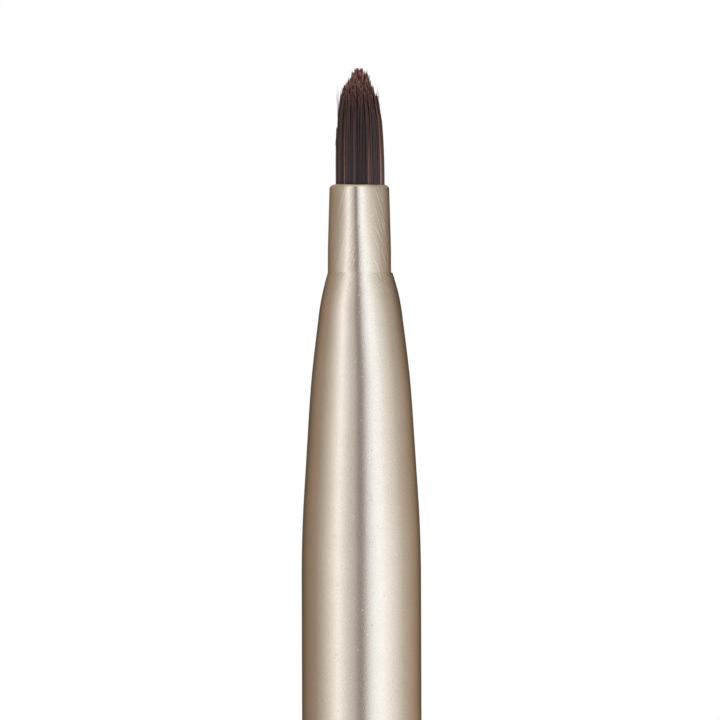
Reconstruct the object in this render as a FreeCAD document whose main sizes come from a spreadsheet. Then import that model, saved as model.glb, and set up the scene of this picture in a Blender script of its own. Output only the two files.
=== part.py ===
import FreeCAD, Part
import math
import os
from types import SimpleNamespace

import Sketcher

# A fine detail brush: a bullet-shaped tuft of synthetic filaments in a one-piece swaged aluminium
# ferrule, on a slim handle of aluminium tube over a wooden core. Every piece is a solid of revolution
# about the brush's long axis. The origin is the centre of the flat butt end, and the tuft points up,
# along +Z. Lengths are in millimetres.

SIZES = [
    ("overall_length", 150.0, "Butt end to the tip of the tuft"),
    ("handle_radius", 5.0, "Outside radius of the parallel skirt and barrel"),
    ("metal_wall", 0.4, "Wall of the ferrule's skirt and of the barrel"),
    ("edge_break", 0.12, "Chamfer on the outer edges that meet at a seam"),
    ("fit_gap", 0.01, "Radial gap between pieces that are pressed or bonded together"),
    ("tuft_length", 9.75, "Filaments outside the ferrule"),
    ("tuft_radius", 2.08, "Radius of the tuft where it leaves the ferrule"),
    ("foot_arc", 1.98, "Arc radius of the tuft's round foot, just inside the mouth"),
    ("foot_flat_radius", 0.4, "Flat under the foot"),
    ("tuft_waist_height", 3.4, "Height above the mouth where the flank starts to curve in"),
    ("tuft_waist_radius", 2.02, "Radius of the tuft there"),
    ("tuft_flank_arc", 18.5, "Arc radius of the tuft's flank"),
    ("tuft_shoulder_height", 8.0, "Height above the mouth where the flank turns into the tip"),
    ("tuft_shoulder_radius", 1.44, "Radius of the tuft there"),
    ("tuft_tip_radius", 0.4, "Radius of the blunt tip"),
    ("tuft_tip_arc", 2.6, "Arc radius from the shoulder to the blunt tip"),
    ("flex_height", 0.9, "Height above the mouth of the point about which the tuft bends"),
    ("mouth_bore_radius", 2.12, "Bore of the ferrule at its mouth"),
    ("mouth_radius", 2.475, "Outside radius of the ferrule just under its lip"),
    ("lip_depth", 0.28, "Height of the turned-in lip"),
    ("lip_arc", 0.36, "Arc radius of the lip"),
    ("neck_length", 7.37, "Mouth to the kink where the neck meets the shoulder"),
    ("neck_radius", 2.7, "Outside radius of the neck at the kink"),
    ("neck_wall", 0.35, "Wall of the neck at the kink"),
    ("kink_step", 0.06, "Small ledge at the kink"),
    ("inner_kink_depth", 7.62, "Depth below the mouth of the kink inside the ferrule"),
    ("shoulder_depth", 11.4, "Depth below the mouth where the shoulder arc meets the flank arc"),
    ("shoulder_radius", 3.625, "Outside radius of the ferrule there"),
    ("shoulder_arc", 16.0, "Arc radius of the ferrule's shoulder"),
    ("flank_depth", 18.9, "Depth below the mouth where the flank arc runs out into a cone"),
    ("flank_radius", 4.33, "Outside radius of the ferrule there"),
    ("flank_arc", 144.0, "Arc radius of the ferrule's flank"),
    ("cone_depth", 26.5, "Depth below the mouth where the cone starts to round off"),
    ("cone_radius", 4.81, "Outside radius of the ferrule there"),
    ("skirt_depth", 33.0, "Depth below the mouth where the ferrule becomes parallel"),
    ("skirt_arc", 111.0, "Arc radius between the cone and the parallel skirt"),
    ("ferrule_length", 58.0, "Mouth to the seam with the barrel"),
    ("cup_floor_depth", 1.45, "Depth below the mouth of the floor of the root's cup"),
    ("cup_floor_radius", 0.5, "Radius of the cup's floor"),
    ("cup_rim_radius", 1.75, "Radius of the cup's rim"),
    ("root_top_depth", 0.8, "Depth below the mouth of the fixed root's rim"),
    ("root_neck_depth", 6.4, "Depth below the mouth to which the root fills the neck"),
    ("root_neck_radius", 2.3, "Radius of the root there"),
    ("root_draw_depth", 7.2, "Depth below the mouth where the root is fully drawn in"),
    ("root_butt_radius", 2.15, "Radius of the drawn-in bundle"),
    ("root_butt_depth", 12.4, "Depth below the mouth of the cut ends of the filaments"),
    ("binding_depth", 8.2, "Depth below the mouth of the first turn of thread"),
    ("binding_waist", 0.15, "How far the thread pulls the bundle in"),
    ("thread_diameter", 0.32, "Diameter of the binding thread"),
    ("resin_depth", 14.5, "Depth below the mouth of the back of the cured resin"),
    ("resin_radius", 3.55, "Radius of the resin there"),
    ("nose_depth", 17.0, "Depth below the mouth of the core's nose"),
    ("nose_radius", 2.6, "Flat at the core's nose"),
    ("nose_arc", 120.0, "Arc radius from the core's nose to its parallel part"),
    ("core_radius", 4.4, "Radius of the parallel part of the wooden core"),
    ("core_parallel_depth", 36.0, "Depth below the mouth where the core becomes parallel"),
    ("core_tail_radius", 3.8, "Radius of the core's lower end"),
    ("core_end_gap", 0.5, "Gap between the core and the end cap's spigot"),
    ("bond_inset", 2.0, "Distance of each adhesive film from the seam"),
    ("bond_length", 18.0, "Length of each adhesive film"),
    ("taper_height", 46.0, "Height above the butt end where the barrel starts to taper"),
    ("taper_radius", 4.3, "Outside radius of the barrel at its lower end"),
    ("taper_arc", 1200.0, "Arc radius of the barrel's taper"),
    ("cap_height", 5.0, "Height of the end cap outside the barrel"),
    ("cap_flat_radius", 3.4, "Flat that the brush can stand on"),
    ("cap_side_radius", 4.24, "Radius of the end cap above its rounded edge"),
    ("cap_edge_height", 0.95, "Height of the end cap's rounded edge"),
    ("cap_edge_arc", 1.0, "Arc radius of the end cap's rounded edge"),
    ("spigot_length", 4.5, "Length of the end cap's spigot inside the barrel"),
    ("spigot_radius", 3.88, "Radius of the spigot"),
]
BINDING_TURNS = 6
THREAD_ARC_SHARE = 0.55  # radius of each turn's round back, as a share of the thread's diameter
ORIGIN = -1
VERTICAL_AXIS = -2
HORIZONTAL_AXIS = -1
START_POINT = 1
END_POINT = 2


class Length:
    """A length in millimetres, together with the sheet expression that gives it."""

    def __init__(self, expression, value):
        self.expression = expression
        self.value = value

    def __add__(self, other):
        return Length(f"({self.expression} + {other.expression})", self.value + other.value)

    def __sub__(self, other):
        return Length(f"({self.expression} - {other.expression})", self.value - other.value)

    def __mul__(self, factor):
        return Length(f"({self.expression} * {factor})", self.value * factor)


ZERO = Length("0", 0.0)


def other_side(hypotenuse, side):
    """The third side of a right-angled triangle."""
    squares = f"{hypotenuse.expression} ^ 2 - {side.expression} ^ 2"
    return Length(f"sqrt({squares})", math.sqrt(hypotenuse.value**2 - side.value**2))


def make_sheet(document):
    """Fills the sheet of driving dimensions, and returns each one as a Length."""
    sheet = document.addObject("Spreadsheet::Sheet", "sizes")
    for row, (alias, value, meaning) in enumerate(SIZES, start=1):
        sheet.set(f"A{row}", meaning)
        sheet.set(f"B{row}", str(value))
        sheet.setAlias(f"B{row}", alias)
    document.recompute()
    lengths = {alias: Length(f"sizes.{alias}", value) for alias, value, meaning in SIZES}
    return SimpleNamespace(**lengths)


def arc_between(start, end, radius):
    """The arc from start to end that bulges away from the brush's axis."""
    chord = end - start
    across = FreeCAD.Vector(chord.y, -chord.x, 0).normalize()
    if across.x < 0:
        across = across * -1
    rise = radius - math.sqrt(radius**2 - (chord.Length / 2) ** 2)
    return Part.Arc(start, (start + end) * 0.5 + across * rise, end)


def bind(sketch, constraint, length):
    """Adds a dimension to the sketch and ties it to the sheet."""
    index = sketch.addConstraint(constraint)
    sketch.setExpression(f"Constraints[{index}]", length.expression)


def place_corner(sketch, edge, end, radius, height):
    """Fixes one end of an edge at a radius and a height."""
    if radius.value == 0:
        sketch.addConstraint(Sketcher.Constraint("PointOnObject", edge, end, VERTICAL_AXIS))
    else:
        across = Sketcher.Constraint("DistanceX", ORIGIN, START_POINT, edge, end, radius.value)
        bind(sketch, across, radius)
    if height.value == 0:
        sketch.addConstraint(Sketcher.Constraint("PointOnObject", edge, end, HORIZONTAL_AXIS))
    else:
        up = Sketcher.Constraint("DistanceY", ORIGIN, START_POINT, edge, end, height.value)
        bind(sketch, up, height)


def draw_section(sketch, corners):
    """Draws a closed half-section. A corner is (radius, height), followed by an arc's radius where the
    edge that leads to it is round. Every arc bulges away from the axis."""
    points = [FreeCAD.Vector(corner[0].value, corner[1].value, 0) for corner in corners]
    edges = []
    for index, corner in enumerate(corners):
        start, end = points[index - 1], points[index]
        if len(corner) == 2:
            edge = sketch.addGeometry(Part.LineSegment(start, end))
        else:
            edge = sketch.addGeometry(arc_between(start, end, corner[2].value))
        drawn_forwards = sketch.getPoint(edge, START_POINT).isEqual(start, 1e-6)
        ends = (START_POINT, END_POINT) if drawn_forwards else (END_POINT, START_POINT)
        edges.append((edge, *ends))
    for index, corner in enumerate(corners):
        edge, edge_start, edge_end = edges[index]
        following, following_start, following_end = edges[(index + 1) % len(corners)]
        sketch.addConstraint(Sketcher.Constraint("Coincident", edge, edge_end, following, following_start))
        place_corner(sketch, edge, edge_end, corner[0], corner[1])
        if len(corner) > 2:
            bind(sketch, Sketcher.Constraint("Radius", edge, corner[2].value), corner[2])


def turned_piece(document, label, base_height, corners):
    """A body turned about the brush's axis. Its corners' heights start at base_height."""
    body = document.addObject("PartDesign::Body", label)
    body.Label = label
    plane = [feature for feature in body.Origin.OriginFeatures if feature.Role == "XZ_Plane"][0]
    sketch = body.newObject("Sketcher::SketchObject", f"{label}_section")
    sketch.AttachmentSupport = [(plane, "")]
    sketch.MapMode = "FlatFace"
    draw_section(sketch, corners)
    turned = body.newObject("PartDesign::Revolution", f"{label}_turned")
    turned.Profile = sketch
    turned.ReferenceAxis = (sketch, ["V_Axis"])
    turned.Angle = 360
    body.Tip = turned
    body.Placement = FreeCAD.Placement()
    body.setExpression("Placement.Base.z", base_height.expression)
    return body


def mouth_height(size):
    """Height of the ferrule's mouth above the butt end."""
    return size.overall_length - size.tuft_length


def seam_height(size):
    """Height of the seam between the ferrule and the barrel."""
    return mouth_height(size) - size.ferrule_length


def make_bristle_tuft(document, size):
    """The filaments outside the ferrule, as the solid that they fill. Its foot is round about the point
    where the tuft bends, so that it turns in the root's cup without touching it."""
    foot_centre_radius = size.tuft_radius - size.foot_arc
    bend = other_side(size.foot_arc, size.foot_flat_radius - foot_centre_radius)
    mouth = bend - size.flex_height
    return turned_piece(document, "bristle_tuft", mouth_height(size) - mouth, [
        (ZERO, ZERO),
        (size.foot_flat_radius, ZERO),
        (size.tuft_radius, bend, size.foot_arc),
        (size.tuft_waist_radius, mouth + size.tuft_waist_height),
        (size.tuft_shoulder_radius, mouth + size.tuft_shoulder_height, size.tuft_flank_arc),
        (size.tuft_tip_radius, mouth + size.tuft_length, size.tuft_tip_arc),
        (ZERO, mouth + size.tuft_length),
    ])


def make_bristle_root(document, size):
    """The same filaments inside the ferrule: packed in the neck, drawn in where the thread is tied, and
    cut square. A shallow cup in its top leaves room for the foot of the bending tuft."""
    butt = size.root_butt_depth
    waist = size.root_butt_radius - size.binding_waist
    waist_top = butt - size.binding_depth
    waist_bottom = waist_top - size.thread_diameter * BINDING_TURNS
    return turned_piece(document, "bristle_root", mouth_height(size) - butt, [
        (ZERO, ZERO),
        (size.root_butt_radius, ZERO),
        (size.root_butt_radius, waist_bottom),
        (waist, waist_bottom),
        (waist, waist_top),
        (size.root_butt_radius, waist_top),
        (size.root_butt_radius, butt - size.root_draw_depth),
        (size.root_neck_radius, butt - size.root_neck_depth),
        (size.mouth_bore_radius - size.fit_gap, butt - size.root_top_depth),
        (size.cup_rim_radius, butt - size.root_top_depth),
        (size.cup_floor_radius, butt - size.cup_floor_depth),
        (ZERO, butt - size.cup_floor_depth),
    ])


def make_root_binding(document, size):
    """The thread tied round the bundle: turns side by side, each with a round back."""
    turn = size.thread_diameter
    inside = size.root_butt_radius - size.binding_waist + size.fit_gap
    middle = inside + turn * 0.5
    base = mouth_height(size) - size.binding_depth - turn * BINDING_TURNS
    corners = [(inside, turn * BINDING_TURNS), (inside, ZERO), (middle, ZERO)]
    for index in range(BINDING_TURNS):
        corners.append((middle, turn * (index + 1), turn * THREAD_ARC_SHARE))
    return turned_piece(document, "root_binding", base, corners)


def make_resin_plug(document, size):
    """The cured resin that fills the ferrule round and behind the butts, and so locks the tuft in."""
    back = size.resin_depth
    gap = size.fit_gap
    bundle = size.root_butt_radius + gap
    thread = size.root_butt_radius - size.binding_waist + size.thread_diameter + gap * 2
    thread_top = back - size.binding_depth + gap
    thread_bottom = back - size.binding_depth - size.thread_diameter * BINDING_TURNS - gap
    top = back - size.inner_kink_depth
    return turned_piece(document, "resin_plug", mouth_height(size) - back, [
        (ZERO, ZERO),
        (size.resin_radius, ZERO),
        (size.shoulder_radius - size.metal_wall - gap, back - size.shoulder_depth),
        (size.neck_radius - size.neck_wall - gap, top, size.shoulder_arc),
        (bundle, top),
        (bundle, thread_top),
        (thread, thread_top),
        (thread, thread_bottom),
        (bundle, thread_bottom),
        (bundle, back - size.root_butt_depth - gap),
        (ZERO, back - size.root_butt_depth - gap),
    ])


def make_ferrule(document, size):
    """One tube from the turned-in lip to the seam: a slim tapered neck, a kink, a bullet-shaped flank and
    a parallel skirt."""
    mouth = size.ferrule_length
    wall = size.metal_wall
    shoulder = mouth - size.shoulder_depth
    flank = mouth - size.flank_depth
    cone = mouth - size.cone_depth
    skirt = mouth - size.skirt_depth
    return turned_piece(document, "ferrule", seam_height(size), [
        (size.mouth_bore_radius, mouth),
        (size.mouth_radius, mouth - size.lip_depth, size.lip_arc),
        (size.neck_radius, mouth - size.neck_length),
        (size.neck_radius + size.kink_step, mouth - size.neck_length),
        (size.shoulder_radius, shoulder, size.shoulder_arc),
        (size.flank_radius, flank, size.flank_arc),
        (size.cone_radius, cone),
        (size.handle_radius, skirt, size.skirt_arc),
        (size.handle_radius, size.edge_break),
        (size.handle_radius - size.edge_break, ZERO),
        (size.handle_radius - wall, ZERO),
        (size.handle_radius - wall, skirt),
        (size.cone_radius - wall, cone, size.skirt_arc),
        (size.flank_radius - wall, flank),
        (size.shoulder_radius - wall, shoulder, size.flank_arc),
        (size.neck_radius - size.neck_wall, mouth - size.inner_kink_depth, size.shoulder_arc),
    ])


def make_handle_core(document, size):
    """The turned wooden core. Its upper half is the tenon inside the ferrule, and its lower half backs
    the barrel."""
    base = size.cap_height + size.spigot_length + size.core_end_gap
    nose = mouth_height(size) - size.nose_depth - base
    parallel_top = mouth_height(size) - size.core_parallel_depth - base
    return turned_piece(document, "handle_core", base, [
        (ZERO, ZERO),
        (size.core_tail_radius, ZERO),
        (size.core_radius, size.taper_height - base),
        (size.core_radius, parallel_top),
        (size.nose_radius, nose, size.nose_arc),
        (ZERO, nose),
    ])


def make_bond(document, label, base_height, size):
    """A film of adhesive round the core."""
    inside = size.core_radius + size.fit_gap
    outside = size.handle_radius - size.metal_wall - size.fit_gap
    return turned_piece(document, label, base_height, [
        (inside, ZERO),
        (outside, ZERO),
        (outside, size.bond_length),
        (inside, size.bond_length),
    ])


def make_handle_barrel(document, size):
    """The tube that covers the lower core: parallel under the seam, then a slow taper to the end cap."""
    top = seam_height(size) - size.cap_height
    taper_top = size.taper_height - size.cap_height
    bore = size.handle_radius - size.metal_wall
    return turned_piece(document, "handle_barrel", size.cap_height, [
        (size.taper_radius - size.metal_wall, ZERO, size.taper_arc),
        (size.taper_radius - size.edge_break, ZERO),
        (size.taper_radius, size.edge_break),
        (size.handle_radius, taper_top, size.taper_arc),
        (size.handle_radius, top - size.edge_break),
        (size.handle_radius - size.edge_break, top),
        (bore, top),
        (bore, taper_top),
    ])


def make_end_cap(document, size):
    """The solid cap that closes the barrel, with a flat that the brush can stand on."""
    return turned_piece(document, "end_cap", ZERO, [
        (ZERO, ZERO),
        (size.cap_flat_radius, ZERO),
        (size.cap_side_radius, size.cap_edge_height, size.cap_edge_arc),
        (size.taper_radius, size.cap_height - size.edge_break),
        (size.taper_radius - size.edge_break, size.cap_height),
        (size.spigot_radius, size.cap_height),
        (size.spigot_radius, size.cap_height + size.spigot_length),
        (ZERO, size.cap_height + size.spigot_length),
    ])


def check(document, pieces):
    """Stops if any object failed or any piece has no good solid."""
    failed = [o.Label for o in document.Objects if {"Invalid", "Error"} & set(o.State)]
    if failed:
        raise RuntimeError(f"these objects failed: {failed}")
    for piece in pieces:
        shape = piece.Shape
        if shape.isNull() or not shape.isValid() or len(shape.Solids) != 1:
            raise RuntimeError(f"{piece.Label} has no valid single solid")


document = FreeCAD.newDocument("fine_detail_brush")
size = make_sheet(document)
seam = seam_height(size)
pieces = [
    make_bristle_tuft(document, size),
    make_bristle_root(document, size),
    make_root_binding(document, size),
    make_resin_plug(document, size),
    make_ferrule(document, size),
    make_bond(document, "ferrule_bond", seam + size.bond_inset, size),
    make_handle_core(document, size),
    make_bond(document, "barrel_bond", seam - size.bond_inset - size.bond_length, size),
    make_handle_barrel(document, size),
    make_end_cap(document, size),
]
document.recompute()
check(document, pieces)
os.makedirs("parts", exist_ok=True)
for piece in pieces:
    piece.Shape.exportStep(f"parts/{piece.Label}.step")
    box = piece.Shape.BoundBox
    print(f"{piece.Label}: z {box.ZMin:.2f} to {box.ZMax:.2f} mm, radius {box.XMax:.3f} mm")
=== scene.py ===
import math
import random
from dataclasses import dataclass, fields

import bmesh
import bpy
import numpy as np
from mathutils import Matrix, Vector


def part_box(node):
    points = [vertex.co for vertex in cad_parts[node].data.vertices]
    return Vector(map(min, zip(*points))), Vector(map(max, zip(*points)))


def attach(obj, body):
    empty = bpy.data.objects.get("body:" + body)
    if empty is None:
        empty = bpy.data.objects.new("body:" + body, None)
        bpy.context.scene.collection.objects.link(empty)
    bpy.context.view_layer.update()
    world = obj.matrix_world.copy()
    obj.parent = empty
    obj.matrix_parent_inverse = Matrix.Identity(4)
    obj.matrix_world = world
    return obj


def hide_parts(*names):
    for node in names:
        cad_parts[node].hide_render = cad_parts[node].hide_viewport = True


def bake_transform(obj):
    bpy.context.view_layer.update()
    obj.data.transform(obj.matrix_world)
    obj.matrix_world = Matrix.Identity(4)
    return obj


# The looks of a fine detail brush: separate dark filaments, a satin champagne ferrule with a slightly
# out-of-round neck, a tube-clad barrel and an end cap. Lengths are in millimetres until they reach a mesh.

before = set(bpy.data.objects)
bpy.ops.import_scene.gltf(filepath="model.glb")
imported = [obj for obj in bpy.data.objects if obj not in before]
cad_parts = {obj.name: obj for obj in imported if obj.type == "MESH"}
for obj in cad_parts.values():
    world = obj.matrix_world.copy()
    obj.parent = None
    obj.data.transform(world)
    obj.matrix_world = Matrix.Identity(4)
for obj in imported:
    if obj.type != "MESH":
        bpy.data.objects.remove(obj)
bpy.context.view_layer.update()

MM = 0.001
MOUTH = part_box("ferrule")[1].z / MM
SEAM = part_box("ferrule")[0].z / MM
BARREL_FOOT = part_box("handle_barrel")[0].z / MM
SEED = 11


# ---------------------------------------------------------------- camera and studio

VIEW_HEIGHT = 60.25
CAMERA_DISTANCE = 320
AIM_BELOW_MOUTH = 14.67
AIM_LEFT_OF_AXIS = 0.06
BRUSH_LEAN = math.radians(0.17)
SENSOR = 36


def make_camera():
    """A level camera, far enough off that the brush hardly converges."""
    data = bpy.data.cameras.new("camera")
    data.sensor_width = SENSOR
    data.lens = SENSOR * CAMERA_DISTANCE / VIEW_HEIGHT
    data.clip_start = 0.01
    data.clip_end = 20
    camera = bpy.data.objects.new("camera", data)
    bpy.context.scene.collection.objects.link(camera)
    camera.location = (-AIM_LEFT_OF_AXIS * MM, -CAMERA_DISTANCE * MM, (MOUTH - AIM_BELOW_MOUTH) * MM)
    camera.rotation_euler = (math.pi / 2, BRUSH_LEAN, 0)
    bpy.context.scene.camera = camera


# What the metal mirrors, by compass direction: 0 degrees is the front and 90 the brush's right-hand side.
STUDIO_WALLS = [
    (-180, (0.10, 0.08, 0.06)),
    (-150, (0.15, 0.11, 0.07)),
    (-131, (0.29, 0.22, 0.16)),
    (-112, (0.38, 0.30, 0.235)),
    (-100, (0.40, 0.34, 0.28)),
    (-80, (0.64, 0.60, 0.57)),
    (-62, (1.00, 1.00, 1.00)),
    (-46, (1.40, 1.45, 1.54)),
    (-33, (1.05, 1.08, 1.15)),
    (-22, (0.80, 0.80, 0.83)),
    (-13, (0.70, 0.68, 0.66)),
    (-5, (0.34, 0.33, 0.33)),
    (3, (0.36, 0.35, 0.35)),
    (14, (1.00, 1.07, 1.19)),
    (28, (1.33, 1.50, 1.69)),
    (42, (1.41, 1.51, 1.64)),
    (62, (1.12, 1.15, 1.18)),
    (90, (0.66, 0.62, 0.57)),
    (115, (0.49, 0.41, 0.33)),
    (135, (0.34, 0.26, 0.19)),
    (152, (0.15, 0.11, 0.07)),
    (180, (0.10, 0.08, 0.06)),
]
# How bright the strips are above level, as a share of what they are at level, by compass direction.
UPPER_SHARES = [
    (-180, 0.8), (-150, 1.0), (-112, 1.12), (-88, 0.97), (-68, 0.93), (-50, 1.0), (-14, 0.98), (-5, 0.90),
    (4, 0.91), (14, 0.98), (28, 1.0), (55, 0.84), (110, 0.87), (140, 0.60), (180, 0.8),
]
# The least light from above level, from the sides and from straight in front, and the light overhead.
UPPER_WALLS = (0.45, 0.37, 0.28, 1)
UPPER_FRONT = (0.29, 0.28, 0.28, 1)
CEILING = (0.80, 0.72, 0.58, 1)
BLACK = (0, 0, 0, 1)
WHITE = (1, 1, 1, 1)
# Where each of these sets in, as the height of a direction: 0 is level and 1 straight up.
SHARE_HEIGHTS = (0.0, 0.12)
LEAST_LIGHT_HEIGHTS = (0.08, 0.45)
CEILING_HEIGHTS = (0.68, 0.86)
# Where the front turns into the sides, in radians from straight in front.
FRONT_EDGES = (0.1, 0.6)


class Nodes:
    """A short way to write a node tree: make a node, set its inputs, and link them."""

    def __init__(self, tree):
        self.tree = tree
        tree.nodes.clear()

    def set(self, socket, value):
        if isinstance(value, bpy.types.NodeSocket):
            self.tree.links.new(value, socket)
        else:
            socket.default_value = value

    def add(self, kind, inputs=None, **settings):
        node = self.tree.nodes.new(kind)
        for name, value in settings.items():
            setattr(node, name, value)
        for name, value in (inputs or {}).items():
            self.set(node.inputs[name], value)
        return node

    def math(self, operation, *values, clamp=False):
        node = self.add("ShaderNodeMath", dict(enumerate(values)), operation=operation, use_clamp=clamp)
        return node.outputs[0]

    def range(self, value, low, high, to_low=0.0, to_high=1.0):
        """Maps low..high smoothly on to to_low..to_high."""
        inputs = {"Value": value, "From Min": low, "From Max": high, "To Min": to_low, "To Max": to_high}
        return self.add("ShaderNodeMapRange", inputs, interpolation_type="SMOOTHSTEP").outputs[0]

    def ramp(self, factor, stops):
        node = self.add("ShaderNodeValToRGB", {"Fac": factor})
        elements = node.color_ramp.elements
        while len(elements) < len(stops):
            elements.new(1.0)
        for element, (place, colour) in zip(elements, stops):
            element.position = place
            element.color = (*colour, 1)
        return node.outputs["Color"]

    def mix(self, factor, a, b, blend_type="MIX"):
        node = self.add("ShaderNodeMix", data_type="RGBA", blend_type=blend_type)
        self.set(node.inputs["Factor"], factor)
        self.set(node.inputs[6], a)
        self.set(node.inputs[7], b)
        return node.outputs[2]

    def place(self, scale=(1, 1, 1)):
        """Where the surface is on the brush, in millimetres, stretched by scale."""
        coordinates = self.add("ShaderNodeTexCoord").outputs["Object"]
        per_mm = [s / MM for s in scale]
        return self.add("ShaderNodeMapping", {"Vector": coordinates, "Scale": per_mm}).outputs[0]

    def noise(self, place, size, detail=2.0):
        """Smooth noise with features of about this size."""
        inputs = {"Vector": place, "Scale": 1 / size, "Detail": detail}
        return self.add("ShaderNodeTexNoise", inputs).outputs["Fac"]

    def attribute(self, name):
        return self.add("ShaderNodeAttribute", attribute_name=name).outputs["Fac"]

    def bump(self, height, depth, normal=None):
        """Raises the surface by up to depth millimetres where height is 1."""
        inputs = {"Height": height, "Distance": depth * MM, "Strength": 1.0}
        if normal is not None:
            inputs["Normal"] = normal
        return self.add("ShaderNodeBump", inputs).outputs["Normal"]

    def surface(self, **inputs):
        """The finished surface. An underscore in a name stands for a space."""
        named = {name.replace("_", " "): value for name, value in inputs.items()}
        shader = self.add("ShaderNodeBsdfPrincipled", named)
        self.add("ShaderNodeOutputMaterial", {"Surface": shader.outputs[0]})


def make_studio():
    """Upright strips of light and dark round the brush, against a white ground."""
    scene = bpy.context.scene
    scene.view_settings.view_transform = "Standard"
    scene.view_settings.look = "None"
    world = bpy.data.worlds.new("studio")
    world.use_nodes = True
    scene.world = world
    n = Nodes(world.node_tree)
    direction = n.add("ShaderNodeSeparateXYZ", {0: n.add("ShaderNodeTexCoord").outputs["Generated"]})
    forwards = n.math("MULTIPLY", direction.outputs["Y"], -1.0)
    compass = n.math("ARCTAN2", direction.outputs["X"], forwards)
    turn = n.math("MULTIPLY_ADD", compass, 1 / (2 * math.pi), 0.5)
    walls = n.ramp(turn, [(angle / 360 + 0.5, colour) for angle, colour in STUDIO_WALLS])
    height = direction.outputs["Z"]
    shares = n.ramp(turn, [(angle / 360 + 0.5, (share, share, share)) for angle, share in UPPER_SHARES])
    walls = n.mix(n.range(height, *SHARE_HEIGHTS), walls, n.mix(1.0, walls, shares, "MULTIPLY"))
    aside = n.range(n.math("ABSOLUTE", compass), *FRONT_EDGES)
    least = n.mix(aside, UPPER_FRONT, UPPER_WALLS)
    haze = n.mix(n.range(height, *LEAST_LIGHT_HEIGHTS), BLACK, least)
    room = n.mix(n.range(height, *CEILING_HEIGHTS), n.mix(1.0, walls, haze, "LIGHTEN"), CEILING)
    light = n.add("ShaderNodeBackground", {"Color": room})
    ground = n.add("ShaderNodeBackground", {"Color": WHITE})
    seen = n.add("ShaderNodeLightPath").outputs["Is Camera Ray"]
    shown = n.add("ShaderNodeMixShader", {0: seen, 1: light.outputs[0], 2: ground.outputs[0]})
    n.add("ShaderNodeOutputWorld", {"Surface": shown.outputs[0]})


# The lamp's width and place in metres, and its power in watts.
LAMP_WIDTH = 0.5
LAMP_PLACE = (0, -0.1, 0.8)
LAMP_POWER = 2.4


def make_ceiling_light():
    """A wide soft lamp overhead, for the floor and the filaments. The metal doesn't mirror it."""
    data = bpy.data.lights.new("ceiling_light", "AREA")
    data.shape = "DISK"
    data.size = LAMP_WIDTH
    data.energy = LAMP_POWER
    lamp = bpy.data.objects.new("ceiling_light", data)
    bpy.context.scene.collection.objects.link(lamp)
    lamp.location = LAMP_PLACE
    lamp.visible_glossy = False
    lamp.visible_camera = False


FLOOR_RADIUS = 900
FLOOR_COLOUR = (0.88, 0.875, 0.865, 1)


def make_floor():
    """A pale disc under the brush. Its edge lies below what the level camera sees."""
    mesh = bpy.data.meshes.new("floor")
    shape = bmesh.new()
    bmesh.ops.create_circle(shape, cap_ends=True, segments=96, radius=FLOOR_RADIUS * MM)
    shape.to_mesh(mesh)
    shape.free()
    floor = bpy.data.objects.new("floor", mesh)
    bpy.context.scene.collection.objects.link(floor)
    floor.visible_glossy = False
    mesh.materials.append(floor_material())


def floor_material():
    material, n = new_material("pale_floor")
    n.surface(Base_Color=FLOOR_COLOUR, Roughness=0.9)
    return material


def new_material(name):
    material = bpy.data.materials.new(name)
    material.use_nodes = True
    return material, Nodes(material.node_tree)


# ---------------------------------------------------------------- metal

CHAMPAGNE = (0.72, 0.63, 0.53, 1)
DEEP_CHAMPAGNE = (0.70, 0.61, 0.51, 1)
ARC_STEP = math.radians(3)
RING_SPACING = 0.5
SEGMENTS = 180
SHARP_EDGE = math.radians(32)
# Points closer together than this, in metres, are one point.
SAME_POINT = 1e-7


def arc_points(start, end, radius):
    """The points after start on the arc to end, which bulges away from the axis. A point is (radius,
    height)."""
    chord = math.dist(start, end)
    outward = ((end[1] - start[1]) / chord, (start[0] - end[0]) / chord)
    if outward[0] < 0:
        outward = (-outward[0], -outward[1])
    back = math.sqrt(radius**2 - (chord / 2) ** 2)
    centre = [(a + b) / 2 - back * o for a, b, o in zip(start, end, outward)]
    first = math.atan2(start[1] - centre[1], start[0] - centre[0])
    last = math.atan2(end[1] - centre[1], end[0] - centre[0])
    steps = max(math.ceil(abs(last - first) / ARC_STEP), math.ceil(chord / RING_SPACING))
    angles = [first + (last - first) * step / steps for step in range(1, steps + 1)]
    return [(centre[0] + radius * math.cos(a), centre[1] + radius * math.sin(a)) for a in angles]


def line_points(start, end):
    """The points after start on the straight line to end."""
    steps = max(1, math.ceil(math.dist(start, end) / RING_SPACING))
    return [tuple(a + (b - a) * step / steps for a, b in zip(start, end)) for step in range(1, steps + 1)]


def outline(corners):
    """All points of a closed half-section. A corner is (radius, height), followed by an arc's radius where
    the edge that leads to it is round."""
    points = []
    for index, corner in enumerate(corners):
        start = corners[index - 1][:2]
        if len(corner) == 3:
            points += arc_points(start, corner[:2], corner[2])
        else:
            points += line_points(start, corner)
    return points


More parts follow.
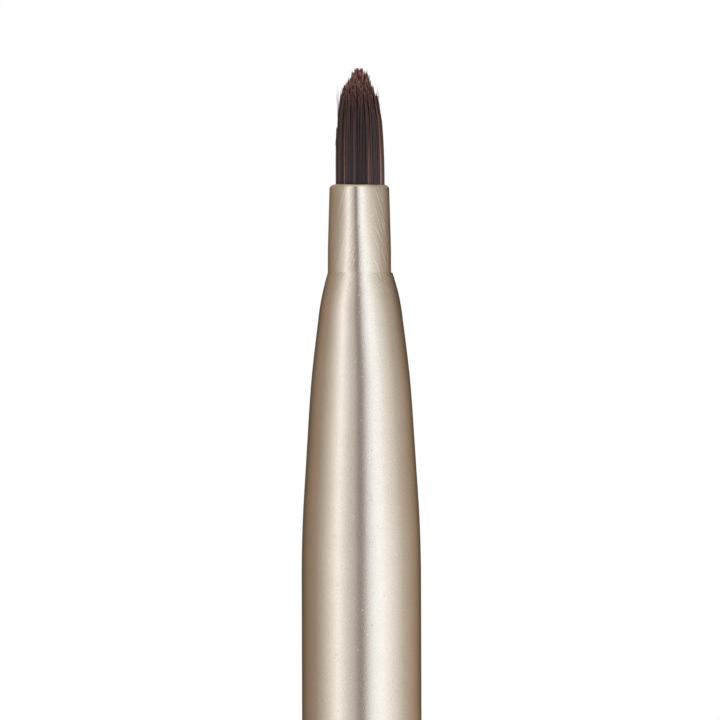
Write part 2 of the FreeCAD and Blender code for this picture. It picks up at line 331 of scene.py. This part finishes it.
def turned_piece(name, corners, material, node, shape=None):
    """A smooth turned mesh that stands for a CAD node. shape can move its points, given as columns
    (compass angle, radius, height)."""
    points = np.array(outline(corners))
    angles = np.arange(SEGMENTS) * 2 * math.pi / SEGMENTS
    compass, radius = np.meshgrid(angles, points[:, 0])
    height = np.repeat(points[:, 1:], SEGMENTS, axis=1)
    shift = np.zeros_like(radius)
    if shape:
        radius, shift = shape(compass, radius, height)
    columns = [radius * np.sin(compass) + shift, -radius * np.cos(compass), height]
    places = np.stack(columns, axis=-1) * MM
    build = bmesh.new()
    rings = [[build.verts.new(place) for place in ring] for ring in places]
    for ring, following in zip(rings, rings[1:] + rings[:1]):
        for index in range(SEGMENTS):
            beside = (index + 1) % SEGMENTS
            build.faces.new((ring[index], ring[beside], following[beside], following[index]))
    bmesh.ops.remove_doubles(build, verts=build.verts, dist=SAME_POINT)
    bmesh.ops.recalc_face_normals(build, faces=build.faces)
    for edge in build.edges:
        edge.smooth = edge.calc_face_angle(0) < SHARP_EDGE
    for face in build.faces:
        face.smooth = True
    mesh = bpy.data.meshes.new(name)
    build.to_mesh(mesh)
    build.free()
    mesh.materials.append(material)
    piece = bpy.data.objects.new(name, mesh)
    bpy.context.scene.collection.objects.link(piece)
    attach(piece, "handle")
    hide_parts(node)


def smoothstep(value, low, high):
    share = np.clip((value - low) / (high - low), 0, 1)
    return share * share * (3 - 2 * share)


NECK_RADIUS = 2.70
KINK_DEPTH = 7.37
KINK_STEP = 0.06
# How the ferrule is out of round: the number of lobes, their height as a share of the radius, and the
# compass direction of one crest. Each set has its full height where its share is 1, and the shares are
# given at depths below the mouth.
NECK_LOBES = [(2, 0.061, -41), (5, 0.011, -12)]
NECK_DEPTHS = (0.5, 3, 6.0, 8.6)
NECK_SHARES = (1, 0.82, 0.45, 0)
MOUTH_LOBES = [(3, 0.028, -3), (4, 0.011, 0)]
MOUTH_DEPTHS = (0.5, 3, 5.2, 6.8)
MOUTH_SHARES = (1, 0.82, 0.45, 0)
SHOULDER_LOBES = [(2, 0.044, -26)]
SHOULDER_DEPTHS = (5.6, 8.2, 10.0, 16)
SHOULDER_SHARES = (0, 1, 1, 0)
# How far the neck stands off the body's axis, the share of that on the shoulder, and where it ends.
NECK_SHIFT = -0.075
SHOULDER_SHIFT_SHARE = 0.25
SHIFT_END_DEPTH = 9.5


def lobed(compass, lobes):
    """How far the lobes stand out in this direction, as a share of the radius."""
    return sum(size * np.cos(count * (compass - math.radians(crest))) for count, size, crest in lobes)


def neck_shape(compass, radius, height):
    """The ferrule as it is pressed on to the bundle: a little lobed near the mouth, oval on the shoulder,
    round again further down, and with its neck slightly off the body's axis."""
    depth = MOUTH - height
    neck = np.interp(depth, NECK_DEPTHS, NECK_SHARES) * lobed(compass, NECK_LOBES)
    neck = neck + np.interp(depth, MOUTH_DEPTHS, MOUTH_SHARES) * lobed(compass, MOUTH_LOBES)
    shoulder = np.interp(depth, SHOULDER_DEPTHS, SHOULDER_SHARES) * lobed(compass, SHOULDER_LOBES)
    on_neck = np.clip((NECK_RADIUS + KINK_STEP - radius) / KINK_STEP, 0, 1)
    above_end = 1 - smoothstep(depth, KINK_DEPTH, SHIFT_END_DEPTH)
    share = SHOULDER_SHIFT_SHARE + (1 - SHOULDER_SHIFT_SHARE) * on_neck
    return radius * (1 + neck + shoulder), NECK_SHIFT * above_end * share


METAL_ROUGHNESS = 0.2
# The grain of the anodised surface, a slow change of colour, and the specks.
GRAIN_SIZE = 0.09
GRAIN_DEPTH = 0.0040
GRAIN_BRIGHTNESS = (0.955, 1.045)
CLOUD_SIZE = 2.2
SPECK_SPACING = 0.66
SPECK_DEPTH = 0.017
# How far a speck reaches from its middle, as a share of the spacing.
SPECK_REACH = 0.12
# The scratches round the neck.
SCRATCH_DEPTH = 0.011
SCRATCH_COLOUR = (0.95, 0.87, 0.76, 1)
SCRATCH_STRENGTH = 0.44
# The uneven sheen round the neck, and the rougher strip on its left.
MOTTLE_SIZE = 0.12
MOTTLE_STRENGTH = 0.15
DULL_ROUGHNESS = 0.16


def metal_material(name, neck_marks):
    """Satin anodised aluminium: a fine grain, a few specks, and polishing scratches round the neck."""
    material, n = new_material(name)
    here = n.place()
    grain = n.noise(here, GRAIN_SIZE, 0)
    cloud = n.noise(here, CLOUD_SIZE, 2)
    specks = n.add("ShaderNodeTexVoronoi", {"Vector": here, "Scale": 1 / SPECK_SPACING})
    from_speck = n.math("DIVIDE", specks.outputs["Distance"], SPECK_REACH)
    normal = n.bump(n.math("SUBTRACT", 1.0, from_speck, clamp=True), SPECK_DEPTH)
    normal = n.bump(grain, GRAIN_DEPTH, normal)
    tint = n.mix(n.range(cloud, 0.3, 0.7), CHAMPAGNE, DEEP_CHAMPAGNE)
    tint = n.mix(1.0, tint, n.range(grain, 0.25, 0.75, *GRAIN_BRIGHTNESS), "MULTIPLY")
    roughness = METAL_ROUGHNESS
    if neck_marks:
        marks, mottle, dull = neck_scratches(n)
        roughness = n.math("MULTIPLY_ADD", dull, DULL_ROUGHNESS, roughness)
        normal = n.bump(marks, SCRATCH_DEPTH, normal)
        marked = n.math("MULTIPLY", marks, SCRATCH_STRENGTH, clamp=True)
        tint = n.mix(marked, tint, SCRATCH_COLOUR)
        tint = n.mix(1.0, tint, n.math("MULTIPLY_ADD", mottle, MOTTLE_STRENGTH, 1.0), "MULTIPLY")
    n.surface(Base_Color=tint, Metallic=1.0, Roughness=roughness, Normal=normal)
    return material


# Where the scratches fade in, from the shoulder up.
SCRATCHES_FOOT = MOUTH - 11
SCRATCHES_FULL = MOUTH - 6
# How they slant on the right and on the left, in radians per millimetre, and their size across.
RIGHT_SCRATCHES = (0.17, 0.13)
LEFT_SCRATCHES = (-0.13, 0.17)
SCRATCH_STRETCH = (1, 1, 0.05)
SCRATCH_THRESHOLDS = (0.54, 0.70)
# Where they fade in sideways from the axis, on the left to less than half the strength, and where the dull
# strip does.
RIGHT_SIDE = (0.8, 1.8)
LEFT_SIDE = (0.4, -1.5)
LEFT_STRENGTH = 0.45
DULL_SIDE = (-0.9, -2.0)


def neck_scratches(n):
    """Fine slanting scratches, strongest on the right-hand side of the neck, an uneven sheen, and a dull
    strip on the left. All fade out on the shoulder."""
    axes = n.add("ShaderNodeSeparateXYZ", {0: n.place()}).outputs
    near_mouth = n.range(axes["Z"], SCRATCHES_FOOT, SCRATCHES_FULL)
    right = n.range(axes["X"], *RIGHT_SIDE)
    left = n.range(axes["X"], *LEFT_SIDE, to_high=LEFT_STRENGTH)
    dull = n.math("MULTIPLY", near_mouth, n.range(axes["X"], *DULL_SIDE))
    marks = 0.0
    for side, (slant, size) in ((right, RIGHT_SCRATCHES), (left, LEFT_SCRATCHES)):
        angle = n.math("MULTIPLY", axes["Z"], slant)
        inputs = {"Vector": n.place(), "Angle": angle}
        twisted = n.add("ShaderNodeVectorRotate", inputs, rotation_type="Z_AXIS").outputs[0]
        inputs = {0: twisted, 1: SCRATCH_STRETCH}
        along = n.add("ShaderNodeVectorMath", inputs, operation="MULTIPLY").outputs[0]
        lines = n.range(n.noise(along, size, 1), *SCRATCH_THRESHOLDS)
        lines = n.math("MULTIPLY", lines, n.math("MULTIPLY", near_mouth, side))
        marks = n.math("ADD", marks, lines)
    uneven = n.math("SUBTRACT", n.noise(n.place(), MOTTLE_SIZE, 1), 0.5)
    return marks, n.math("MULTIPLY", uneven, near_mouth), dull


BODY_RADIUS = 5.0
BODY_WALL = 0.4
NECK_WALL = 0.35
CHAMFER = 0.12
# The ferrule's lip: the opening, and the radius, depth and arc of its turned-in edge.
OPENING_RADIUS = 2.12
LIP_RADIUS = 2.475
LIP_DEPTH = 0.29
LIP_ARC = 0.46
# Where the ferrule's outside changes below the kink, as (radius, depth below the mouth), and the radius of
# the arc that leads to a place from above. The cone, from the flank to its foot, is straight.
SHOULDER = (3.625, 11.4)
FLANK = (4.33, 18.9)
CONE_FOOT = (4.81, 26.5)
SHAFT_TOP = (BODY_RADIUS, 33)
SHOULDER_ARC = 16
FLANK_ARC = 144
SHAFT_ARC = 111
INNER_KINK_DEPTH = 7.62


def make_ferrule(material):
    """A thin tube. Its corners go down the outside and come back up the inside."""
    def outside(place):
        return place[0], MOUTH - place[1]

    def inside(place):
        return place[0] - BODY_WALL, MOUTH - place[1]

    turned_piece("ferrule_tube", [
        (OPENING_RADIUS, MOUTH),
        (LIP_RADIUS, MOUTH - LIP_DEPTH, LIP_ARC),
        (NECK_RADIUS, MOUTH - KINK_DEPTH),
        (NECK_RADIUS + KINK_STEP, MOUTH - KINK_DEPTH),
        (*outside(SHOULDER), SHOULDER_ARC),
        (*outside(FLANK), FLANK_ARC),
        outside(CONE_FOOT),
        (*outside(SHAFT_TOP), SHAFT_ARC),
        (BODY_RADIUS, SEAM + CHAMFER),
        (BODY_RADIUS - CHAMFER, SEAM),
        (BODY_RADIUS - BODY_WALL, SEAM),
        inside(SHAFT_TOP),
        (*inside(CONE_FOOT), SHAFT_ARC),
        inside(FLANK),
        (*inside(SHOULDER), FLANK_ARC),
        (NECK_RADIUS - NECK_WALL, MOUTH - INNER_KINK_DEPTH, SHOULDER_ARC),
    ], material, "ferrule", neck_shape)


# The barrel narrows below this height, in one long arc, to its foot.
TAPER_TOP = 46
TAPER_ARC = 1200
FOOT_RADIUS = 4.3
FOOT_BORE = 3.9


def make_barrel(material):
    turned_piece("barrel_tube", [
        (FOOT_BORE, BARREL_FOOT, TAPER_ARC),
        (FOOT_RADIUS - CHAMFER, BARREL_FOOT),
        (FOOT_RADIUS, BARREL_FOOT + CHAMFER),
        (BODY_RADIUS, TAPER_TOP, TAPER_ARC),
        (BODY_RADIUS, SEAM - CHAMFER),
        (BODY_RADIUS - CHAMFER, SEAM),
        (BODY_RADIUS - BODY_WALL, SEAM),
        (BODY_RADIUS - BODY_WALL, TAPER_TOP),
    ], material, "handle_barrel")


# The cap: its flat end, the rounding above it as (radius, height, arc), and the spigot in the barrel.
CAP_FLAT_RADIUS = 3.4
CAP_ROUNDING = (4.24, 0.95, 1.0)
SPIGOT_RADIUS = 3.88
SPIGOT_LENGTH = 4.5


def make_end_cap(material):
    turned_piece("cap", [
        (0, 0),
        (CAP_FLAT_RADIUS, 0),
        CAP_ROUNDING,
        (FOOT_RADIUS, BARREL_FOOT - CHAMFER),
        (FOOT_RADIUS - CHAMFER, BARREL_FOOT),
        (SPIGOT_RADIUS, BARREL_FOOT),
        (SPIGOT_RADIUS, BARREL_FOOT + SPIGOT_LENGTH),
        (0, BARREL_FOOT + SPIGOT_LENGTH),
    ], material, "end_cap")


# The lathe's rings on the cap, for each millimetre, and how deep they and the grain between them are.
RINGS_PER_MM = 9.0
RING_DEPTH = 0.004
CAP_GRAIN_SIZE = 0.1
CAP_GRAIN_DEPTH = 0.001


def cap_material():
    """Turned aluminium: the same champagne finish, with the fine rings that a lathe leaves."""
    material, n = new_material("turned_champagne_metal")
    axes = n.add("ShaderNodeSeparateXYZ", {0: n.place()})
    x, y, height = axes.outputs["X"], axes.outputs["Y"], axes.outputs["Z"]
    across = n.math("SQRT", n.math("ADD", n.math("MULTIPLY", x, x), n.math("MULTIPLY", y, y)))
    groove = n.math("ADD", across, height)
    inputs = {"W": groove, "Scale": RINGS_PER_MM, "Detail": 3.0}
    rings = n.add("ShaderNodeTexNoise", inputs, noise_dimensions="1D")
    normal = n.bump(rings.outputs["Fac"], RING_DEPTH)
    normal = n.bump(n.noise(n.place(), CAP_GRAIN_SIZE, 3), CAP_GRAIN_DEPTH, normal)
    n.surface(Base_Color=DEEP_CHAMPAGNE, Metallic=1.0, Roughness=0.24, Normal=normal)
    return material


# ---------------------------------------------------------------- filaments

BUNDLE_RADIUS = 2.03
# How far apart the filaments and the clumps are, how much each is moved at random as a share of that, and
# how far apart the rows are as a share of the same.
SPACING = 0.104
JITTER = 0.24
CLUMP_SPACING = 0.34
CLUMP_JITTER = 0.28
ROW_SPACING = 0.87
# The clumps' middles may lie this much further out than the filaments.
CLUMP_SPREAD = 1.04
RADII = (0.043, 0.054)
# How far the filaments reach down below the mouth, the lengths at the tip over which they gather and over
# which they taper, and how thick the tip is as a share of the filament.
TUCKED_IN = 0.75
TIP_LENGTH = 3.4
TAPER_LENGTH = 1.3
BLUNTNESS = 0.34
# How far a filament gathers towards the middle of its clump, at the mouth and at its tip.
ROOT_PULL = 0.16
TIP_PULLS = (0.35, 0.9)
# The rings along a filament lie closer together towards the tip, by this power.
RING_CROWDING = 1.5
# The average size of a filament's waves and of its drift to one side at the tip, and how fast it waves.
WAVE = 0.020
WAVE_TURN = 4.2
DRIFT = 0.030
# How far the bundle is drawn in, as a share of its width at the mouth, at these heights above the mouth.
DRAWN_HEIGHTS = (0.0, 2.0, 3.7, 5.3, 6.7, 7.7, 9.0)
DRAWN_IN = (1.0, 0.995, 0.965, 0.92, 0.82, 0.745, 0.70)
# How far the bundle bends sideways at these heights.
BEND_HEIGHTS = (0, 5, 8, 9.5)
BEND = (0, -0.03, -0.13, -0.07)
# How high the filaments reach, by their distance from the axis at the mouth.
REACH_RADII = (0.0, 0.6, 0.9, 1.3, 1.5, 1.65, 1.85, 2.03)
REACH = (9.68, 9.4, 9.05, 8.65, 8.35, 8.0, 7.65, 7.2)
HIGHEST_TIP = 9.75
# How far a clump's filaments end together, from 0 to 1, and how uneven the clumps and the filaments are.
TIED = 0.7
CLUMP_LEAN = 0.06
CLUMP_LIFT = 0.16
UNEVEN_TIPS = 0.13
# A few filaments on the left edge are broken off: compass direction, how many degrees to either side, how
# far from the axis they start, their height and how uneven that is.
BROKEN_AT = -90
BROKEN_SPREAD = 7
BROKEN_FROM = 1.9
BROKEN_HEIGHT = 4.8
BROKEN_UNEVEN = 0.05
# Filaments that start further out than this make up the outer layer.
OUTER_LAYER = 1.35


@dataclass
class Strands:
    """Filaments, with one row in each array for each filament. Lengths are in millimetres."""

    roots: np.ndarray  # where it leaves the mouth, as (x, y)
    clumps: np.ndarray  # the middle of its clump, as (x, y)
    leans: np.ndarray  # how far its tip leans, as (x, y)
    tops: np.ndarray  # how high its tip is above the mouth
    radii: np.ndarray
    pulls: np.ndarray  # how far its tip gathers towards the clump's middle, from 0 to 1
    tones: np.ndarray  # its place in the range of body colours, from 0 to 1
    glows: np.ndarray  # its place in the range of tip colours, from 0 to 1

    def picked(self, chosen):
        """The chosen filaments only."""
        return Strands(*(getattr(self, field.name)[chosen] for field in fields(self)))


def scattered(rng, spacing, limit, jitter):
    """Points in a disc of this radius, about this far apart."""
    points = []
    count = int(limit / spacing) + 2
    for row in range(-count, count + 1):
        for column in range(-count, count + 1):
            x = (column + 0.5 * (row % 2) + rng.uniform(-jitter, jitter)) * spacing
            y = (row * ROW_SPACING + rng.uniform(-jitter, jitter)) * spacing
            if math.hypot(x, y) < limit:
                points.append((x, y))
    return np.array(points)


def filament_lines(strands, dice, rings):
    """The middle of each filament as (x, y) at every ring, and the rings' heights above the mouth. Filaments
    gather towards the middle of their clump as they rise."""
    count = len(strands.roots)
    tops = strands.tops[:, None]
    share = 1 - (1 - np.linspace(0, 1, rings)) ** RING_CROWDING
    height = -TUCKED_IN + (tops + TUCKED_IN) * share[None, :]
    rise = smoothstep(height, tops - TIP_LENGTH, tops)
    gather = ROOT_PULL + (strands.pulls[:, None] - ROOT_PULL) * rise
    drawn = np.interp(height, DRAWN_HEIGHTS, DRAWN_IN)
    wave_start = dice.uniform(0, 2 * math.pi, (count, 2))
    wave = dice.normal(0, WAVE, (count, 2))
    drift = dice.normal(0, DRIFT, (count, 2))
    middle = np.zeros((count, rings, 2))
    for axis in (0, 1):
        root = strands.roots[:, axis, None]
        line = root + (strands.clumps[:, axis, None] - root) * gather
        line = line * drawn + strands.leans[:, axis, None] * rise**2 + drift[:, axis, None] * rise
        line += wave[:, axis, None] * rise * np.sin(height * WAVE_TURN + wave_start[:, axis, None])
        middle[:, :, axis] = line
    middle[:, :, 0] += np.interp(height, BEND_HEIGHTS, BEND)
    return middle, height


def tube_faces(count, rings, sides):
    """The faces of this many closed tubes, whose points are in order of tube, ring and side."""
    ring_starts = (np.arange(count)[:, None] * rings + np.arange(rings - 1)[None, :]).reshape(-1, 1) * sides
    side = np.arange(sides)[None, :]
    beside = (side + 1) % sides
    corners = [ring_starts + side, ring_starts + beside]
    corners += [ring_starts + beside + sides, ring_starts + side + sides]
    walls = np.stack(corners, axis=-1).reshape(-1, 4)
    feet = np.arange(count)[:, None] * rings * sides + side
    tips = feet + (rings - 1) * sides
    return walls.tolist() + feet[:, ::-1].tolist() + tips.tolist()


def label_points(mesh, label, values):
    """Gives each point of the mesh a number that its material can read."""
    attribute = mesh.attributes.new(label, "FLOAT", "POINT")
    attribute.data.foreach_set("value", values.astype(np.float32))


def filament_mesh(name, strands, dice, rings, sides):
    """Tapered filaments from below the mouth to their tips. dice gives random numbers with a fixed seed."""
    count = len(strands.roots)
    middle, height = filament_lines(strands, dice, rings)
    to_tip = strands.tops[:, None] - height
    taper = BLUNTNESS + (1 - BLUNTNESS) * (to_tip / TAPER_LENGTH)
    radius = strands.radii[:, None] * np.clip(taper, BLUNTNESS, 1)
    turn = dice.uniform(0, 2 * math.pi, count)
    angle = turn[:, None] + np.arange(sides)[None, :] * 2 * math.pi / sides
    x = middle[:, :, None, 0] + radius[:, :, None] * np.cos(angle)[:, None, :]
    y = middle[:, :, None, 1] + radius[:, :, None] * np.sin(angle)[:, None, :]
    z = np.broadcast_to((MOUTH + height)[:, :, None], x.shape)
    places = np.stack([x, y, z], axis=-1).reshape(-1, 3) * MM
    mesh = bpy.data.meshes.new(name)
    mesh.from_pydata(places.tolist(), [], tube_faces(count, rings, sides))
    mesh.polygons.foreach_set("use_smooth", [True] * len(mesh.polygons))
    label_points(mesh, "tone", np.repeat(strands.tones, rings * sides))
    label_points(mesh, "glow", np.repeat(strands.glows, rings * sides))
    label_points(mesh, "to_tip", np.repeat(to_tip.reshape(-1), sides))
    return mesh


def add_filaments(name, mesh, material, stands_for=()):
    mesh.materials.append(material)
    piece = bpy.data.objects.new(name, mesh)
    bpy.context.scene.collection.objects.link(piece)
    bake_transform(piece)
    if stands_for:
        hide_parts(*stands_for)


# The copper-coloured streaks: compass direction, how many filaments lie side by side, and how bright it is.
COPPER_STREAKS = [
    (-44, 1, 0.35), (20.5, 2, 0.3), (60, 2, 0.9), (-80, 2, 0.3), (78, 1, 0.4), (90, 2, 0.5),
    (112, 2, 0.6), (150, 2, 0.4), (-150, 2, 0.6), (-118, 1, 0.3), (178, 1, 0.5),
]
# What a degree off that direction and a millimetre in from the edge count for in choosing the filaments.
DEGREE_COST = 0.1
DEPTH_COST = 6
# Hairs that stand off the tuft: compass direction, height of the tip, and how far out they lean.
STRAYS = [
    (-90, 8.3, 0.30), (-84, 7.9, 0.20), (-97, 7.6, 0.36),
    (92, 8.2, 0.14), (84, 7.9, 0.20), (75, 8.1, 0.12), (101, 7.7, 0.22), (140, 8.0, 0.2),
    (-140, 8.2, 0.25), (178, 8.0, 0.2), (-30, 8.3, 0.08), (35, 8.1, 0.08),
]
STRAY_RADII = (0.015, 0.023)
STRAY_TONE = 0.4
# How far from the axis the stray hairs start, as a share of the bundle's radius.
STRAY_ROOTS = 0.98


def grow_strands(dice):
    """All filaments of the tuft but the stray ones."""
    rng = random.Random(SEED)
    roots = scattered(rng, SPACING, BUNDLE_RADIUS, JITTER)
    centres = scattered(rng, CLUMP_SPACING, BUNDLE_RADIUS * CLUMP_SPREAD, CLUMP_JITTER)
    count = len(roots)
    leans = dice.normal(0, CLUMP_LEAN, centres.shape)
    lifts = dice.normal(0, CLUMP_LIFT, len(centres))
    nearest = ((roots[:, None, :] - centres[None, :, :]) ** 2).sum(-1).argmin(1)
    distance = np.hypot(roots[:, 0], roots[:, 1])
    clump_distance = np.hypot(centres[:, 0], centres[:, 1])[nearest]
    from_axis = distance + (clump_distance - distance) * TIED
    tops = np.interp(from_axis, REACH_RADII, REACH) + lifts[nearest] + dice.normal(0, UNEVEN_TIPS, count)
    broken = (np.abs(compass_of(roots) - BROKEN_AT) < BROKEN_SPREAD) & (distance > BROKEN_FROM)
    broken_tops = BROKEN_HEIGHT + dice.normal(0, BROKEN_UNEVEN, count)
    tops = np.where(broken, broken_tops, np.minimum(tops, HIGHEST_TIP))
    radii = dice.uniform(*RADII, count)
    pulls = dice.uniform(*TIP_PULLS, count)
    tones = dice.uniform(0, 1, count)
    glows = (dice.uniform(0, 1, len(centres))[nearest] + dice.uniform(0, 1, count)) / 2
    return Strands(roots, centres[nearest], leans[nearest], tops, radii, pulls, tones, glows)


def compass_of(places):
    """The compass direction of each (x, y), in degrees."""
    return np.degrees(np.arctan2(places[:, 0], -places[:, 1]))


def pick_copper(strands, distance):
    """Which filaments are copper-coloured. Their tones become their streak's brightness."""
    copper = np.zeros(len(strands.roots), bool)
    for direction, wide, brightness in COPPER_STREAKS:
        turned_from = np.abs((compass_of(strands.roots) - direction + 180) % 360 - 180)
        order = np.argsort(turned_from * DEGREE_COST + (BUNDLE_RADIUS - distance) * DEPTH_COST)
        copper[order[:wide]] = True
        strands.tones[order[:wide]] = brightness
    return copper


def stray_strands(dice):
    """The hairs that stand off the tuft."""
    compass, tops, leans = np.array(STRAYS).T
    outward = np.stack([np.sin(np.radians(compass)), -np.cos(np.radians(compass))], axis=1)
    count = len(STRAYS)
    roots = outward * BUNDLE_RADIUS * STRAY_ROOTS
    radii = dice.uniform(*STRAY_RADII, count)
    pulls = np.zeros(count)
    tones = np.full(count, STRAY_TONE)
    glows = dice.uniform(0, 1, count)
    return Strands(roots, roots, outward * leans[:, None], tops, radii, pulls, tones, glows)


def make_filaments():
    dice = np.random.default_rng(SEED)
    strands = grow_strands(dice)
    distance = np.hypot(strands.roots[:, 0], strands.roots[:, 1])
    copper = pick_copper(strands, distance)
    outer = (distance > OUTER_LAYER) & ~copper
    inner = ~outer & ~copper
    dark = filament_material("dark_filament", DARK_TONES, DARK_TIP_DYE_AND_HIGHLIGHTS, BROWNER)
    # A shaded copy of the filament colours for the inner filaments, with painted reddish shade for the gaps
    # between filaments.
    deep = filament_material("inner_filament", INNER_DYE_AND_GAP_SHADE, DARK_TIP_DYE_AND_HIGHLIGHTS, BROWNER)
    warm = filament_material("copper_filament", COPPER_TONES, COPPER_TIP_DYE_AND_HIGHLIGHTS, COPPER_BROWNER)
    # Name, which filaments, rings along each, sides round each, material, and the CAD nodes it stands for.
    layers = [
        ("outer_filaments", outer, 16, 6, dark, ["bristle_tuft"]),
        ("inner_filaments", inner, 14, 5, deep, []),
        ("copper_filaments", copper, 18, 8, warm, []),
    ]
    for name, chosen, rings, sides, material, stands_for in layers:
        mesh = filament_mesh(name, strands.picked(chosen), dice, rings, sides)
        add_filaments(name, mesh, material, stands_for)
    mesh = filament_mesh("stray_filaments", stray_strands(dice), dice, rings=26, sides=5)
    add_filaments("stray_filaments", mesh, warm)


DARK_TONES = [
    (0.0, (0.024, 0.007, 0.006)),
    (0.35, (0.037, 0.016, 0.015)),
    (0.7, (0.049, 0.031, 0.036)),
    (0.86, (0.066, 0.050, 0.060)),
    (1.0, (0.098, 0.048, 0.040)),
]
# The inner filaments' colours: partly their dye, partly painted shade. They are seen only in the gaps
# between filaments, and are redder so that the shade there looks reddish-brown.
INNER_DYE_AND_GAP_SHADE = [
    (0.0, (0.035, 0.009, 0.006)),
    (1.0, (0.075, 0.024, 0.016)),
]
# Tip colours: the reddish-brown dye at the low end, painted pinkish highlights at the high end.
DARK_TIP_DYE_AND_HIGHLIGHTS = [
    (0.0, (0.050, 0.015, 0.012)),
    (0.5, (0.120, 0.043, 0.033)),
    (1.0, (0.47, 0.22, 0.18)),
]
COPPER_TONES = [
    (0.0, (0.065, 0.030, 0.020)),
    (1.0, (0.42, 0.20, 0.115)),
]
# The copper filaments' tip colours: dye at the low end, painted highlight at the high end.
COPPER_TIP_DYE_AND_HIGHLIGHTS = [
    (0.0, (0.08, 0.030, 0.022)),
    (1.0, (0.24, 0.11, 0.085)),
]
# What the colour is multiplied by high on the tuft. It sets in gradually from the mouth.
BROWNER = (0.76, 0.39, 0.30, 1)
COPPER_BROWNER = (0.32, 0.22, 0.20, 1)

# The marks along a filament, and the painted highlights flecked near its tip: how they are stretched, and
# their size across.
STREAK_STRETCH = (1, 1, 0.12)
STREAK_SIZE = 0.09
STREAK_DEPTH = 0.004
HIGHLIGHT_FLECK_STRETCH = (1, 1, 0.38)
HIGHLIGHT_FLECK_SIZE = 0.12
# The parts that the flecked painted highlights and the filament's own glow have in the tip's colour, which
# runs from dye to painted highlight.
HIGHLIGHT_FLECK_SHARE = 0.65
GLOW_SHARE = 0.35
# Heights between which the body browns, and between which the tip's colour comes in.
BROWNING = (MOUTH + 0.2, MOUTH + 5.2)
TIP_HEIGHTS = (MOUTH + 5.8, MOUTH + 9.6)
# Distances from the tip between which its colour comes in.
TIP_REACH = (2.6, 0.3)


def filament_material(name, tones, tips, browner):
    """Half-shiny dyed filament, redder towards its tip from its dye and paler there from painted highlights,
    with fine marks along it.
    """
    material, n = new_material(name)
    height = n.add("ShaderNodeSeparateXYZ", {0: n.place()}).outputs["Z"]
    streak = n.noise(n.place(STREAK_STRETCH), STREAK_SIZE, 2)
    highlight_flecks = n.noise(n.place(HIGHLIGHT_FLECK_STRETCH), HIGHLIGHT_FLECK_SIZE, 2)
    # The streaks move the tone up or down by as much as a quarter of its range.
    shade = n.math("ADD", n.attribute("tone"), n.math("MULTIPLY_ADD", streak, 0.5, -0.25), clamp=True)
    body = n.ramp(shade, tones)
    body = n.mix(n.range(height, *BROWNING), body, n.mix(1.0, body, browner, "MULTIPLY"))
    # Painted highlights, flecked near the tip where the stretched noise is high.
    highlight_fleck = n.math("MULTIPLY", n.range(highlight_flecks, 0.34, 0.66), HIGHLIGHT_FLECK_SHARE)
    tip = n.ramp(n.math("MULTIPLY_ADD", n.attribute("glow"), GLOW_SHARE, highlight_fleck), tips)
    near_tip = n.range(n.attribute("to_tip"), *TIP_REACH)
    high_up = n.range(height, *TIP_HEIGHTS)
    colour = n.mix(n.math("MULTIPLY", near_tip, high_up), body, tip)
    normal = n.bump(streak, STREAK_DEPTH)
    n.surface(Base_Color=colour, Roughness=0.36, Normal=normal, Specular_IOR_Level=0.5)
    return material


# ---------------------------------------------------------------- pieces inside

# The materials that the ferrule and the barrel hide, and the pieces made of each. The stretch is along the
# brush, and the size and the depth of the pattern are in millimetres.
INNER_MATERIALS = [
    dict(
        name="packed_filament", light=(0.06, 0.04, 0.04, 1), dark=(0.02, 0.01, 0.01, 1),
        stretch=0.05, size=0.1, roughness=0.45, depth=0.03, nodes=["bristle_root"],
    ),
    dict(
        name="binding_thread", light=(0.85, 0.82, 0.76, 1), dark=(0.66, 0.62, 0.54, 1),
        stretch=3, size=0.12, roughness=0.7, depth=0.02, nodes=["root_binding"],
    ),
    dict(
        name="cured_resin", light=(0.72, 0.50, 0.22, 1), dark=(0.55, 0.34, 0.12, 1),
        stretch=1, size=0.9, roughness=0.2, depth=0.01, nodes=["resin_plug"],
    ),
    dict(
        name="adhesive", light=(0.80, 0.76, 0.62, 1), dark=(0.68, 0.62, 0.46, 1),
        stretch=1, size=0.7, roughness=0.35, depth=0.02, nodes=["ferrule_bond", "barrel_bond"],
    ),
    dict(
        name="core_wood", light=(0.78, 0.60, 0.38, 1), dark=(0.55, 0.37, 0.20, 1),
        stretch=0.06, size=0.5, roughness=0.6, depth=0.02, nodes=["handle_core"],
    ),
]


def grained_material(name, light, dark, stretch, size, roughness, depth):
    """A plain material whose colour and surface vary with stretched noise."""
    material, n = new_material(name)
    pattern = n.noise(n.place((1, 1, stretch)), size, 4)
    colour = n.mix(n.range(pattern, 0.35, 0.65), dark, light)
    n.surface(Base_Color=colour, Roughness=roughness, Normal=n.bump(pattern, depth))
    return material


def paint_inner_pieces():
    """Gives the pieces that the ferrule and the barrel hide their materials."""
    for look in INNER_MATERIALS:
        settings = dict(look)
        nodes = settings.pop("nodes")
        material = grained_material(**settings)
        for node in nodes:
            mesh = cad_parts[node].data
            mesh.materials.clear()
            mesh.materials.append(material)


make_camera()
make_studio()
make_ceiling_light()
make_floor()
make_ferrule(metal_material("satin_ferrule_metal", True))
make_barrel(metal_material("satin_barrel_metal", False))
make_end_cap(cap_material())
make_filaments()
paint_inner_pieces()
